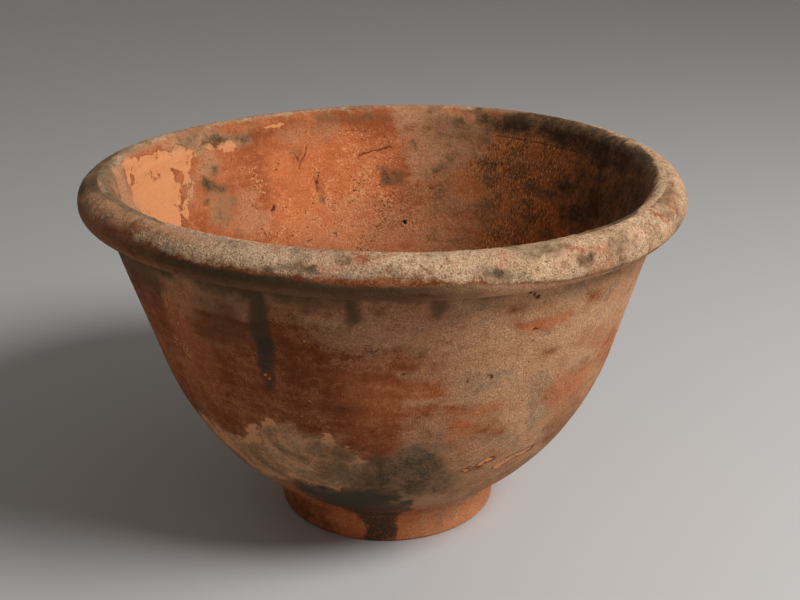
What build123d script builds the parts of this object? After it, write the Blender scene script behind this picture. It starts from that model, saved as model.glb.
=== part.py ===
"""A thrown pottery bowl: a flaring wall, a rolled rim luted to its edge and a foot ring luted to its base.

The bowl stands on its foot ring, with the origin at the middle of the ring's resting face and +Z up.
All sizes are in millimetres.
"""
import os
from math import cos, radians, sin

from build123d import *

# Rim roll, a ring of clay that overhangs the wall
rim_outer_radius = 125.0
rim_height = 153.8              # crest of the roll
roll_shoulder_radius = 8.8      # round outer shoulder, from the widest line up to the crest
roll_overhang = 10.0            # how far the roll stands out past the neck of the wall
roll_outer_depth = 15.6         # from the crest down to the neck, where the underside meets the wall
roll_inner_depth = 10.8         # from the crest down to the seam inside

# Wall, straight and flaring above, one arc below
flare_angle = 16.4              # lean of the straight wall from upright, in degrees
belly_height = 80.7             # where the straight wall turns into the belly arc
wall_thickness = 8.0
floor_thickness = 10.0
floor_sweep_radius = 26.0       # hollow curve between the floor and the wall inside

# Foot ring, turned and luted under the base
foot_height = 15.0
foot_top_radius = 49.0
foot_rest_outer_radius = 48.0
foot_rest_inner_radius = 39.0
foot_edge_radius = 1.6
spigot_radius = 37.0            # low boss under the base that centres the ring
spigot_depth = 4.0
base_dome_radius = 30.0         # shallow turned hollow in the middle of the base
base_dome_rise = 1.5

# Luting clay, the beds that hold the three members together
rim_luting_thickness = 0.8
foot_luting_thickness = 0.8
foot_bead_width = 1.2           # clay squeezed out beyond the ring
foot_bead_height = 2.2
foot_bead_crown = 0.3           # roundness of the bead's face

# Mending hole, drilled level through the wall
mending_hole_radius = 1.2
mending_hole_height = 98.5      # where it opens on the inside
mending_hole_bearing = 84.4     # degrees from +X towards +Y

# Directions in the profile, where X is the radius and Y is the height
up_wall = Vector(sin(radians(flare_angle)), cos(radians(flare_angle)))
out_of_wall = Vector(up_wall.Y, -up_wall.X)

# Places on the roll and the wall
nose = Vector(rim_outer_radius, rim_height - roll_shoulder_radius)
crest = Vector(rim_outer_radius - roll_shoulder_radius, rim_height)
neck = Vector(rim_outer_radius - roll_overhang, rim_height - roll_outer_depth)
belly_outer = neck - up_wall * ((neck.Y - belly_height) / up_wall.Y)
belly_inner = belly_outer - out_of_wall * wall_thickness
inner_seam = belly_inner + up_wall * ((rim_height - roll_inner_depth - belly_inner.Y) / up_wall.Y)
hole_mouth = belly_inner + up_wall * ((mending_hole_height - belly_inner.Y) / up_wall.Y)

# Places on the base
seat_height = foot_height + foot_luting_thickness
base_height = seat_height - spigot_depth
dome_top = (0, base_height + base_dome_rise)
floor_middle = (0, base_height + floor_thickness)
foot_join = Vector(foot_top_radius + foot_bead_width, seat_height)

# The wall's edge is bevelled from the inner seam to the neck, and the roll's seat lies one luting bed above it.
# Inside, the bed and the roll are flush with the wall.
bevel = (neck - inner_seam).normalized()
off_bevel = Vector(-bevel.Y, bevel.X)
seat_inner = inner_seam + up_wall * (rim_luting_thickness / up_wall.dot(off_bevel))
seat_outer = neck + off_bevel * rim_luting_thickness

# The lip rounds over from the level crest into the straight inside of the wall, and its chord turns half as far
lip_turn = radians(90 - flare_angle)
with BuildLine() as lip_lines:
    wall_face = Line(seat_inner, seat_inner + up_wall * roll_inner_depth)
    lip_chord = IntersectingLine(crest, (-cos(lip_turn / 2), -sin(lip_turn / 2)), wall_face)
lip = lip_chord @ 1

# The inside of the belly is concentric with the outside and ends at the floor
with BuildLine() as belly_lines:
    outer_belly = TangentArc(belly_outer, foot_join, tangent=-up_wall)
    inner_belly = CenterArc(outer_belly.arc_center, outer_belly.radius - wall_thickness, -90, 180)
    floor_line = IntersectingLine(floor_middle, (1, 0), inner_belly)
floor_corner = floor_line @ 1


with BuildPart() as bowl_wall:
    with BuildSketch(Plane.XZ) as wall_section:
        with BuildLine() as wall_outline:
            TangentArc(dome_top, (base_dome_radius, base_height), tangent=(1, 0))
            Polyline((base_dome_radius, base_height), (spigot_radius, base_height),
                     (spigot_radius, seat_height), foot_join)
            TangentArc(belly_outer, foot_join, tangent=-up_wall)
            Polyline(belly_outer, neck, inner_seam, belly_inner)
            TangentArc(belly_inner, floor_corner, tangent=-up_wall)
            Polyline(floor_corner, floor_middle, dome_top)
        make_face()
        fillet(wall_section.vertices().sort_by_distance(floor_corner)[0], floor_sweep_radius)
    revolve(axis=Axis.Z)
    # The drill starts just inside the wall and goes level out through it
    around = Rotation(0, 0, mending_hole_bearing)
    drill = Plane(origin=(hole_mouth.X - mending_hole_radius, 0, hole_mouth.Y), z_dir=(-1, 0, 0))
    with Locations(around * drill.location):
        Hole(mending_hole_radius, depth=2 * wall_thickness)
bowl_wall.part.label = "bowl_wall"


with BuildPart() as rim_roll:
    with BuildSketch(Plane.XZ) as roll_section:
        with BuildLine() as roll_outline:
            TangentArc(nose, crest, tangent=(0, 1))
            TangentArc(crest, lip, tangent=(-1, 0))
            Polyline(lip, seat_inner, seat_outer)
            TangentArc(nose, seat_outer, tangent=(0, -1))
        make_face()
    revolve(axis=Axis.Z)
rim_roll.part.label = "rim_roll"


with BuildPart() as rim_luting:
    with BuildSketch(Plane.XZ) as rim_luting_section:
        with BuildLine() as rim_luting_outline:
            Polyline(inner_seam, neck, seat_outer, seat_inner, close=True)
        make_face()
    revolve(axis=Axis.Z)
rim_luting.part.label = "rim_luting"


with BuildPart() as foot_ring:
    with BuildSketch(Plane.XZ) as ring_section:
        with BuildLine() as ring_outline:
            Polyline((foot_rest_inner_radius, 0), (foot_rest_outer_radius, 0), (foot_top_radius, foot_height),
                     (spigot_radius, foot_height), (spigot_radius, base_height), close=True)
        make_face()
        fillet(ring_section.vertices().group_by(Axis.Y)[0], foot_edge_radius)
    revolve(axis=Axis.Z)
foot_ring.part.label = "foot_ring"


with BuildPart() as foot_luting:
    ring_lean = (foot_top_radius - foot_rest_outer_radius) / foot_height
    bead_foot = (foot_top_radius - foot_bead_height * ring_lean, foot_height - foot_bead_height)
    with BuildSketch(Plane.XZ) as foot_luting_section:
        with BuildLine() as foot_luting_outline:
            Polyline(bead_foot, (foot_top_radius, foot_height), (spigot_radius, foot_height),
                     (spigot_radius, seat_height), foot_join)
            SagittaArc(foot_join, bead_foot, foot_bead_crown)
        make_face()
    revolve(axis=Axis.Z)
foot_luting.part.label = "foot_luting"


os.makedirs("parts", exist_ok=True)
for piece in (bowl_wall, rim_roll, rim_luting, foot_ring, foot_luting):
    export_step(piece.part, f"parts/{piece.part.label}.step")
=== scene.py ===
"""The look of a worn red-slip bowl: turned clay meshes with their wear and soil, studio light and camera.

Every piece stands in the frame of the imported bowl, in metres, with +Z up and the front towards -Y.
"""
import math

import bpy
import numpy as np
from mathutils import Matrix, Vector, noise


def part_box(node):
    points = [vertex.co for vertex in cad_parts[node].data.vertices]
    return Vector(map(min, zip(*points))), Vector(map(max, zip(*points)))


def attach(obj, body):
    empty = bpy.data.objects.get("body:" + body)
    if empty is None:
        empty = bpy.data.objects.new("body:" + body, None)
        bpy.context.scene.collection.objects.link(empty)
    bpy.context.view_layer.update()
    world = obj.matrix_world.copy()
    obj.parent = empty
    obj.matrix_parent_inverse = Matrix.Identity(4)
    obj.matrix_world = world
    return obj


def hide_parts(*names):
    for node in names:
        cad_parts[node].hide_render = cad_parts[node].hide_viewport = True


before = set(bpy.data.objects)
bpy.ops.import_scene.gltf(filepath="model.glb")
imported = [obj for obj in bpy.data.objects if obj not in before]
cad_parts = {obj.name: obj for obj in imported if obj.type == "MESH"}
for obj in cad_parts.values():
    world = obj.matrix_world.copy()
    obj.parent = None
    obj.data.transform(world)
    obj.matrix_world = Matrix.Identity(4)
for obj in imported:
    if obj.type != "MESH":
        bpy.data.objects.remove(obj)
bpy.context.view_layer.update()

MM = 0.001

# Camera, placed by the bowl's outline in the photograph
PHOTO_WIDTH = 800
PHOTO_HEIGHT = 600
FOCAL_PIXELS = 1204.7
CAMERA_DISTANCE = 491.9 * MM
CAMERA_HEIGHT = 282.5 * MM
CAMERA_PITCH = math.radians(21.121)
CAMERA_YAW = math.radians(0.677)
SENSOR_WIDTH_MM = 36.0

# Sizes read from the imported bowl
RIM_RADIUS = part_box("rim_roll")[1].x
RIM_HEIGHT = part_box("rim_roll")[1].z
NECK_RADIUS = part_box("bowl_wall")[1].x
SEAM_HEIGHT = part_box("bowl_wall")[1].z
BASE_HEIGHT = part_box("bowl_wall")[0].z
FOOT_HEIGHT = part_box("foot_ring")[1].z
FOOT_TOP_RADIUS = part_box("foot_ring")[1].x
SEAT_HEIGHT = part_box("foot_luting")[1].z
JOIN_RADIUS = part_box("foot_luting")[1].x
BEAD_FOOT_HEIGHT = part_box("foot_luting")[0].z

# Sizes of the profile that no box shows
FLARE = math.radians(16.4)
NECK_HEIGHT = 138.2 * MM
BELLY_HEIGHT = 80.7 * MM
WALL_THICKNESS = 8.0 * MM
FLOOR_HEIGHT = 21.8 * MM
FLOOR_SWEEP = 26.0 * MM
SHOULDER_RADIUS = 8.8 * MM
LUTING_THICKNESS = 0.8 * MM
REST_OUTER_RADIUS = 48.0 * MM
REST_INNER_RADIUS = 39.0 * MM
FOOT_EDGE = 1.6 * MM
SPIGOT_RADIUS = 37.0 * MM
DOME_RADIUS = 30.0 * MM
DOME_RISE = 1.5 * MM
BEAD_CROWN = 0.3 * MM
HOLE_RADIUS = 1.2 * MM
HOLE_HEIGHT = 98.5 * MM
HOLE_BEARING = math.radians(84.4)


# Profile lines: a point is (radius, height), and each line gives its points without the last one

def point(radius, height):
    return np.array((radius, height), float)


def unit(vector):
    return vector / np.linalg.norm(vector)


def straight(start, end, step):
    count = max(1, math.ceil(np.linalg.norm(end - start) / step))
    share = np.arange(count)[:, None] / count
    return start + (end - start) * share


def arc_through(start, direction, end):
    """Centre, radius and signed turn of the arc that leaves start along direction and ends at end."""
    chord = end - start
    side = direction[0] * chord[1] - direction[1] * chord[0]
    half_turn = math.atan2(abs(side), direction @ chord)
    radius = np.linalg.norm(chord) / (2 * math.sin(half_turn))
    centre = start + math.copysign(radius, side) * point(-direction[1], direction[0])
    return centre, radius, math.copysign(2 * half_turn, side)


def tangent_arc(start, direction, end, step):
    """Points on the arc that leaves start along direction and ends at end."""
    centre, radius, turn = arc_through(start, direction, end)
    count = max(2, math.ceil(abs(turn) * radius / step))
    angles = turn * np.arange(count) / count
    arm = start - centre
    cosines = np.cos(angles)
    sines = np.sin(angles)
    turned = np.stack((arm[0] * cosines - arm[1] * sines, arm[0] * sines + arm[1] * cosines), axis=1)
    return centre + turned


def closed(*lines):
    """A ring-shaped piece: its profile ends where it starts."""
    points = np.concatenate(lines)
    return np.concatenate((points, points[:1]))


UP_WALL = point(math.sin(FLARE), math.cos(FLARE))
OUT_OF_WALL = point(math.cos(FLARE), -math.sin(FLARE))
NECK = point(NECK_RADIUS, NECK_HEIGHT)
BELLY_OUTER = NECK - UP_WALL * (NECK_HEIGHT - BELLY_HEIGHT) / UP_WALL[1]
BELLY_INNER = BELLY_OUTER - OUT_OF_WALL * WALL_THICKNESS
INNER_SEAM = BELLY_INNER + UP_WALL * (SEAM_HEIGHT - BELLY_INNER[1]) / UP_WALL[1]
FOOT_JOIN = point(JOIN_RADIUS, SEAT_HEIGHT)
BEVEL = unit(NECK - INNER_SEAM)
OFF_BEVEL = point(-BEVEL[1], BEVEL[0])
SEAT_INNER = INNER_SEAM + UP_WALL * LUTING_THICKNESS / (UP_WALL @ OFF_BEVEL)
SEAT_OUTER = NECK + OFF_BEVEL * LUTING_THICKNESS
NOSE = point(RIM_RADIUS, RIM_HEIGHT - SHOULDER_RADIUS)
CREST = point(RIM_RADIUS - SHOULDER_RADIUS, RIM_HEIGHT)


def lip_point():
    """Where the lip, rounding over from the level crest, runs into the straight inside of the wall."""
    half_turn = (math.pi / 2 - FLARE) / 2
    chord = point(-math.cos(half_turn), -math.sin(half_turn))
    across = chord[0] * UP_WALL[1] - chord[1] * UP_WALL[0]
    gap = SEAT_INNER - CREST
    return CREST + chord * (gap[0] * UP_WALL[1] - gap[1] * UP_WALL[0]) / across


def wall_profile(fine, coarse):
    """From the middle of the base, round the outside and the bevelled edge, to the middle of the floor."""
    centre, radius, _ = arc_through(BELLY_OUTER, -UP_WALL, FOOT_JOIN)
    inner_radius = radius - WALL_THICKNESS
    sweep_height = FLOOR_HEIGHT + FLOOR_SWEEP
    sweep_reach = math.sqrt((inner_radius - FLOOR_SWEEP) ** 2 - (centre[1] - sweep_height) ** 2)
    sweep_centre = point(centre[0] + sweep_reach, sweep_height)
    sweep_arm = unit(sweep_centre - centre)
    sweep_start = sweep_centre + sweep_arm * FLOOR_SWEEP
    sweep_end = point(sweep_centre[0], FLOOR_HEIGHT)
    dome_top = point(0, BASE_HEIGHT + DOME_RISE)
    dome_edge = point(DOME_RADIUS, BASE_HEIGHT)
    spigot_low = point(SPIGOT_RADIUS, BASE_HEIGHT)
    spigot_high = point(SPIGOT_RADIUS, SEAT_HEIGHT)
    floor_middle = point(0, FLOOR_HEIGHT)
    belly_up = tangent_arc(BELLY_OUTER, -UP_WALL, FOOT_JOIN, fine)[::-1]
    return np.concatenate((
        tangent_arc(dome_top, point(1, 0), dome_edge, coarse),
        straight(dome_edge, spigot_low, coarse),
        straight(spigot_low, spigot_high, coarse),
        straight(spigot_high, FOOT_JOIN, coarse),
        FOOT_JOIN[None],
        belly_up,
        straight(BELLY_OUTER, NECK, fine)[1:],
        straight(NECK, INNER_SEAM, coarse),
        straight(INNER_SEAM, BELLY_INNER, fine),
        tangent_arc(BELLY_INNER, -UP_WALL, sweep_start, fine),
        tangent_arc(sweep_start, point(sweep_arm[1], -sweep_arm[0]), sweep_end, fine),
        straight(sweep_end, floor_middle, coarse),
        floor_middle[None],
    ))


def rim_profile(fine, coarse):
    lip = lip_point()
    underside = tangent_arc(NOSE, point(0, -1), SEAT_OUTER, fine)[::-1]
    return closed(
        SEAT_OUTER[None],
        underside,
        tangent_arc(NOSE, point(0, 1), CREST, fine)[1:],
        tangent_arc(CREST, point(-1, 0), lip, fine),
        straight(lip, SEAT_INNER, fine),
        straight(SEAT_INNER, SEAT_OUTER, coarse),
    )


def rim_luting_profile(fine, coarse):
    return closed(
        straight(NECK, SEAT_OUTER, fine),
        straight(SEAT_OUTER, SEAT_INNER, coarse),
        straight(SEAT_INNER, INNER_SEAM, fine),
        straight(INNER_SEAM, NECK, coarse),
    )


def foot_ring_profile(fine, coarse):
    outer_low = point(REST_OUTER_RADIUS, 0)
    outer_top = point(FOOT_TOP_RADIUS, FOOT_HEIGHT)
    inner_low = point(REST_INNER_RADIUS, 0)
    inner_bend = point(SPIGOT_RADIUS, BASE_HEIGHT)
    inner_top = point(SPIGOT_RADIUS, FOOT_HEIGHT)
    up_outer = unit(outer_top - outer_low)
    up_inner = unit(inner_bend - inner_low)
    rest_outer = outer_low - point(FOOT_EDGE, 0)
    side_outer = outer_low + up_outer * FOOT_EDGE
    rest_inner = inner_low + point(FOOT_EDGE, 0)
    side_inner = inner_low + up_inner * FOOT_EDGE
    return closed(
        straight(rest_inner, rest_outer, coarse),
        tangent_arc(rest_outer, point(1, 0), side_outer, fine / 2),
        straight(side_outer, outer_top, fine),
        straight(outer_top, inner_top, coarse),
        straight(inner_top, inner_bend, fine),
        straight(inner_bend, side_inner, fine),
        tangent_arc(side_inner, -up_inner, rest_inner, fine / 2),
    )


def foot_luting_profile(fine, coarse):
    lean = (FOOT_TOP_RADIUS - REST_OUTER_RADIUS) / FOOT_HEIGHT
    bead_foot = point(FOOT_TOP_RADIUS - (FOOT_HEIGHT - BEAD_FOOT_HEIGHT) * lean, BEAD_FOOT_HEIGHT)
    chord = FOOT_JOIN - bead_foot
    half_turn = 2 * math.atan(2 * BEAD_CROWN / np.linalg.norm(chord))
    leave = math.atan2(chord[1], chord[0]) - half_turn
    corner = point(FOOT_TOP_RADIUS, FOOT_HEIGHT)
    inner_low = point(SPIGOT_RADIUS, FOOT_HEIGHT)
    inner_high = point(SPIGOT_RADIUS, SEAT_HEIGHT)
    return closed(
        tangent_arc(bead_foot, point(math.cos(leave), math.sin(leave)), FOOT_JOIN, fine),
        straight(FOOT_JOIN, inner_high, coarse),
        straight(inner_high, inner_low, fine),
        straight(inner_low, corner, coarse),
        straight(corner, bead_foot, fine),
    )


# Node trees
NOISE_GAIN = 2.4
SOCKET_TYPES = {
    "Geometry": "NodeSocketGeometry",
    "Turn steps": "NodeSocketInt",
    "Material": "NodeSocketMaterial",
}


class NodeSheet:
    """A node tree with short calls for the nodes that the bowl's trees share."""

    def __init__(self, tree):
        self.tree = tree

    def feed(self, socket, value):
        if isinstance(value, bpy.types.NodeSocket):
            self.tree.links.new(value, socket)
        else:
            socket.default_value = value

    def node(self, kind, inputs=None, **settings):
        made = self.tree.nodes.new(kind)
        for name, value in settings.items():
            setattr(made, name, value)
        for name, value in (inputs or {}).items():
            self.feed(made.inputs[name], value)
        return made

    def out(self, kind, inputs=None, **settings):
        """The first output of a new node."""
        return self.node(kind, inputs, **settings).outputs[0]

    def ordered(self, kind, *values, **settings):
        """The first output of a new node whose inputs take the values in order."""
        return self.out(kind, dict(enumerate(values)), **settings)

    def math(self, operation, *values):
        return self.ordered("ShaderNodeMath", *values, operation=operation)

    def vector(self, operation, *values):
        return self.ordered("ShaderNodeVectorMath", *values, operation=operation)

    def lengthened(self, vector, factor):
        return self.out("ShaderNodeVectorMath", {0: vector, "Scale": factor}, operation="SCALE")

    def chain(self, operation, values):
        result = values[0]
        for value in values[1:]:
            result = self.math(operation, result, value)
        return result

    def add(self, *values):
        return self.chain("ADD", values)

    def times(self, *values):
        return self.chain("MULTIPLY", values)

    def span(self, value, low, high, to_low=0.0, to_high=1.0, interpolation="LINEAR"):
        limits = {"Value": value, "From Min": low, "From Max": high, "To Min": to_low, "To Max": to_high}
        return self.out("ShaderNodeMapRange", limits, interpolation_type=interpolation)

    def step(self, value, low, high):
        return self.span(value, low, high, interpolation="SMOOTHSTEP")

    def noise(self, place, scale, detail=3.0, roughness=0.55):
        """Noise around zero, mostly within -0.6 to 0.6."""
        values = {"Vector": place, "Scale": scale, "Detail": detail, "Roughness": roughness}
        level = self.out("ShaderNodeTexNoise", values)
        return self.math("MULTIPLY_ADD", level, NOISE_GAIN, -0.5 * NOISE_GAIN)

    def mix(self, share, first, second, blend="MIX"):
        """A mixed colour. The Mix node has its colours at inputs 6 and 7 and at output 2."""
        values = {0: share, 6: first, 7: second}
        return self.node("ShaderNodeMix", values, data_type="RGBA", blend_type=blend).outputs[2]


def modifier_tree(name, inputs):
    """An empty Geometry Nodes tree with the named inputs, and the outputs of its input node."""
    tree = bpy.data.node_groups.new(name, "GeometryNodeTree")
    for input_name in ("Geometry", *inputs, "Material"):
        socket_type = SOCKET_TYPES.get(input_name, "NodeSocketFloat")
        tree.interface.new_socket(input_name, in_out="INPUT", socket_type=socket_type)
    tree.interface.new_socket("Geometry", in_out="OUTPUT", socket_type=SOCKET_TYPES["Geometry"])
    sheet = NodeSheet(tree)
    return sheet, sheet.node("NodeGroupInput").outputs


def finish_tree(sheet, geometry, material):
    """Every tree ends in plain geometry with its material."""
    real = sheet.out("GeometryNodeRealizeInstances", {"Geometry": geometry})
    smooth_faces = sheet.out("GeometryNodeSetShadeSmooth", {"Geometry": real})
    dressed = sheet.out("GeometryNodeSetMaterial", {"Geometry": smooth_faces, "Material": material})
    sheet.node("NodeGroupOutput", {"Geometry": dressed})
    return sheet.tree


def settle(piece):
    """Turn the piece's modifiers into its plain mesh."""
    graph = bpy.context.evaluated_depsgraph_get()
    mesh = bpy.data.meshes.new_from_object(piece.evaluated_get(graph), depsgraph=graph)
    piece.modifiers.clear()
    old_mesh = piece.data
    piece.data = mesh
    bpy.data.meshes.remove(old_mesh)
    mesh.name = piece.name


def apply_tree(piece, tree, values):
    """Run a tree on a piece with the given inputs, and keep the result as the piece's plain mesh."""
    modifier = piece.modifiers.new(tree.name, "NODES")
    modifier.node_group = tree
    for socket in tree.interface.items_tree:
        if socket.in_out == "INPUT" and socket.name in values:
            modifier[socket.identifier] = values[socket.name]
    settle(piece)


# How the pot came off the wheel: a little out of round, leaning and ringed by the potter's fingers
TURNING = {
    "Saddle warp": 1.38 * MM,
    "Rim shift": -1.3 * MM,
    "Ring depth": 0.16 * MM,
    "Unevenness": 0.55 * MM,
    "Seed": 4.0,
}
RING_STRETCH = (9.0, 9.0, 260.0)    # makes the rings level and close together
WAVE_SCALE = 11.0
WARP_START = 0.45 * RIM_HEIGHT      # the wall is true below this height
TRUE_FOOT = (0.5 * MM, 4.0 * MM)    # heights between which unevenness sets in, so that the foot rests flat
WELD_DISTANCE = 0.001 * MM
DRILL_SIDES = 28

# How finely each piece is meshed: step along shown faces, step along hidden faces, steps round the axis
WALL_STEPS = (1.42 * MM, 4.0 * MM, 416)
RIM_STEPS = (0.65 * MM, 3.0 * MM, 1100)
RIM_LUTING_STEPS = (0.4 * MM, 3.0 * MM, 600)
FOOT_STEPS = (0.8 * MM, 4.0 * MM, 420)
FOOT_LUTING_STEPS = (0.4 * MM, 4.0 * MM, 420)


def turned_form_tree():
    """A profile of edges turned round the Z axis into a closed form, warped as the thrown pot is."""
    sheet, inputs = modifier_tree("turned form", ("Turn steps", *TURNING))
    profile = inputs["Geometry"]
    position = sheet.out("GeometryNodeInputPosition")
    row_count = sheet.node("GeometryNodeAttributeDomainSize", {"Geometry": profile}).outputs["Point Count"]
    column_count = sheet.math("ADD", inputs["Turn steps"], 1.0)
    grid = sheet.out("GeometryNodeMeshGrid", {"Vertices X": column_count, "Vertices Y": row_count})

    index = sheet.out("GeometryNodeInputIndex")
    row = sheet.math("MODULO", index, row_count)
    column = sheet.math("FLOOR", sheet.math("DIVIDE", sheet.math("ADD", index, 0.5), row_count))
    angle = sheet.math("DIVIDE", sheet.times(column, 2 * math.pi), inputs["Turn steps"])
    wanted = {"Geometry": profile, "Value": position, "Index": row}
    sample = sheet.out("GeometryNodeSampleIndex", wanted, data_type="FLOAT_VECTOR")
    profile_point = sheet.node("ShaderNodeSeparateXYZ", {0: sample}).outputs
    turned_x = sheet.times(profile_point["X"], sheet.math("COSINE", angle))
    turned_y = sheet.times(profile_point["X"], sheet.math("SINE", angle))
    turned = sheet.ordered("ShaderNodeCombineXYZ", turned_x, turned_y, profile_point["Z"])
    placed = sheet.out("GeometryNodeSetPosition", {"Geometry": grid, "Position": turned})
    form = sheet.out("GeometryNodeMergeByDistance", {"Geometry": placed, "Distance": WELD_DISTANCE})

    place = sheet.node("ShaderNodeSeparateXYZ", {0: position}).outputs
    above_foot = sheet.step(place["Z"], *TRUE_FOOT)
    above_middle = sheet.step(place["Z"], WARP_START, RIM_HEIGHT)
    seeded = sheet.vector("ADD", position, sheet.ordered("ShaderNodeCombineXYZ", inputs["Seed"]))
    rings = sheet.noise(sheet.vector("MULTIPLY", seeded, RING_STRETCH), 1.0, detail=2.0)
    waves = sheet.noise(seeded, WAVE_SCALE, detail=2.0)
    push = sheet.add(sheet.times(rings, inputs["Ring depth"]), sheet.times(waves, inputs["Unevenness"]))
    outward = sheet.vector("NORMALIZE", sheet.vector("MULTIPLY", position, (1.0, 1.0, 0.0)))
    push_out = sheet.lengthened(outward, sheet.times(push, above_foot))
    around = sheet.math("ARCTAN2", place["Y"], place["X"])
    saddle = sheet.times(sheet.math("SINE", sheet.times(around, 2.0)), inputs["Saddle warp"], above_middle)
    shift = sheet.times(inputs["Rim shift"], above_middle)
    offset = sheet.vector("ADD", push_out, sheet.ordered("ShaderNodeCombineXYZ", shift, 0.0, saddle))
    warped = sheet.out("GeometryNodeSetPosition", {"Geometry": form, "Offset": offset})
    return finish_tree(sheet, warped, inputs["Material"])


def profile_piece(name, points):
    """An object whose mesh is the profile's edges, radius along X and height along Z."""
    places = [(radius, 0.0, height) for radius, height in points]
    edges = [(start, start + 1) for start in range(len(places) - 1)]
    mesh = bpy.data.meshes.new(name)
    mesh.from_pydata(places, edges, [])
    piece = bpy.data.objects.new(name, mesh)
    bpy.context.scene.collection.objects.link(piece)
    return piece


def turned_piece(name, profile, steps, material):
    fine, coarse, turn_steps = steps
    piece = profile_piece(name, profile(fine, coarse))
    apply_tree(piece, TURNED_FORM, {**TURNING, "Turn steps": turn_steps, "Material": material})
    return piece


def drill_mending_hole(wall):
    """Cut the mending hole level through the wall."""
    mouth = BELLY_INNER + UP_WALL * (HOLE_HEIGHT - BELLY_INNER[1]) / UP_WALL[1]
    middle = Vector((mouth[0] + WALL_THICKNESS / 2, 0.0, mouth[1]))
    bearing = Matrix.Rotation(HOLE_BEARING, 4, "Z")
    bpy.ops.mesh.primitive_cylinder_add(vertices=DRILL_SIDES, radius=HOLE_RADIUS, depth=3 * WALL_THICKNESS)
    drill = bpy.context.object
    drill.matrix_world = bearing @ Matrix.Translation(middle) @ Matrix.Rotation(math.pi / 2, 4, "Y")
    cut = wall.modifiers.new("mending hole", "BOOLEAN")
    cut.operation = "DIFFERENCE"
    cut.solver = "EXACT"
    cut.object = drill
    bpy.context.view_layer.update()
    settle(wall)
    bpy.data.objects.remove(drill)


# What time did to the surface, and the painted shade and light that some coats carry: each coat is a value
# from 0 to 1 at every point of a piece
COATS = (
    "bare", "bright", "fleck", "film", "brown", "crust", "pale", "veil_and_shade", "grime_and_shade", "soot", "scar", "crack",
)
CRACK_REACH = 2.5 * MM
SEAMS = (NECK, SEAT_OUTER, SEAT_INNER, INNER_SEAM, FOOT_JOIN, point(FOOT_TOP_RADIUS, BEAD_FOOT_HEIGHT))
SEAM_REACH = 2.5 * MM
EDGE_ON = (-0.35, -0.05)    # paint fades between these, as a point turns away from the camera
FLAT_FLOOR = 0.8            # low points that face up more than this are on the bowl's floor
STROKE_CORE = 0.3           # share of a stroke's width that has its full strength
STROKE_WANDER = 0.3         # how far a stroke's edge wanders, as a share of its width

# A fixed wander that makes painted edges ragged: how fine and how strong each part of it is
WANDER_SCALES = ((38.0, 1.0), (120.0, 0.6), (380.0, 0.4))
WANDER_SEED = 3
WANDER_LEAST = 1.5          # pixels that even a hard edge wanders
WANDER_PIXELS = 14          # the most that softness adds to it

CAMERA_PLACE = Vector((0.0, -CAMERA_DISTANCE, CAMERA_HEIGHT))
CAMERA_TURN = Matrix.Rotation(-CAMERA_YAW, 3, "Z") @ Matrix.Rotation(math.pi / 2 - CAMERA_PITCH, 3, "X")


def pixel_direction(pixel):
    """The way the camera looks through a pixel of the photograph."""
    across = (pixel[0] - PHOTO_WIDTH / 2) / FOCAL_PIXELS
    up = (PHOTO_HEIGHT / 2 - pixel[1]) / FOCAL_PIXELS
    return CAMERA_TURN @ Vector((across, up, -1.0)).normalized()


def photo_pixels(places):
    """The photograph's pixel at which the camera sees each place."""
    seen = (places - np.array(CAMERA_PLACE)) @ np.array(CAMERA_TURN)
    across = PHOTO_WIDTH / 2 - FOCAL_PIXELS * seen[:, 0] / seen[:, 2]
    down = PHOTO_HEIGHT / 2 + FOCAL_PIXELS * seen[:, 1] / seen[:, 2]
    return np.stack((across, down), axis=1)


def smooth(value, low, high):
    share = np.clip((value - low) / (high - low), 0.0, 1.0)
    return share * share * (3 - 2 * share)


def distance_to_run(places, start, end):
    run = end - start
    share = np.clip((places - start) @ run / max(run @ run, 1e-12), 0.0, 1.0)
    return np.linalg.norm(places - start - share[:, None] * run, axis=1)


def depth_in_outline(pixels, outline):
    """How far inside a closed outline each pixel lies, negative outside it."""
    corners = np.array(outline, float)
    reach = np.full(len(pixels), np.inf)
    inside = np.zeros(len(pixels), bool)
    for start, end in zip(corners, np.roll(corners, -1, axis=0)):
        reach = np.minimum(reach, distance_to_run(pixels, start, end))
        crosses = (start[1] > pixels[:, 1]) != (end[1] > pixels[:, 1])
        slope = (end[0] - start[0]) / ((end[1] - start[1]) or 1e-9)
        inside ^= crosses & (pixels[:, 0] < start[0] + (pixels[:, 1] - start[1]) * slope)
    return np.where(inside, reach, -reach)


def wandering(places):
    """A sideways wander at each place, about -1 to 1."""
    noise.seed_set(WANDER_SEED)

    def wander(place):
        return sum((noise.noise_vector(place * scale) * weight for scale, weight in WANDER_SCALES), Vector())
    return np.array([wander(Vector(place)) for place in places])


def vectors_of(collection, name):
    values = np.empty(3 * len(collection))
    collection.foreach_get(name, values)
    return values.reshape(-1, 3)


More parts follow.
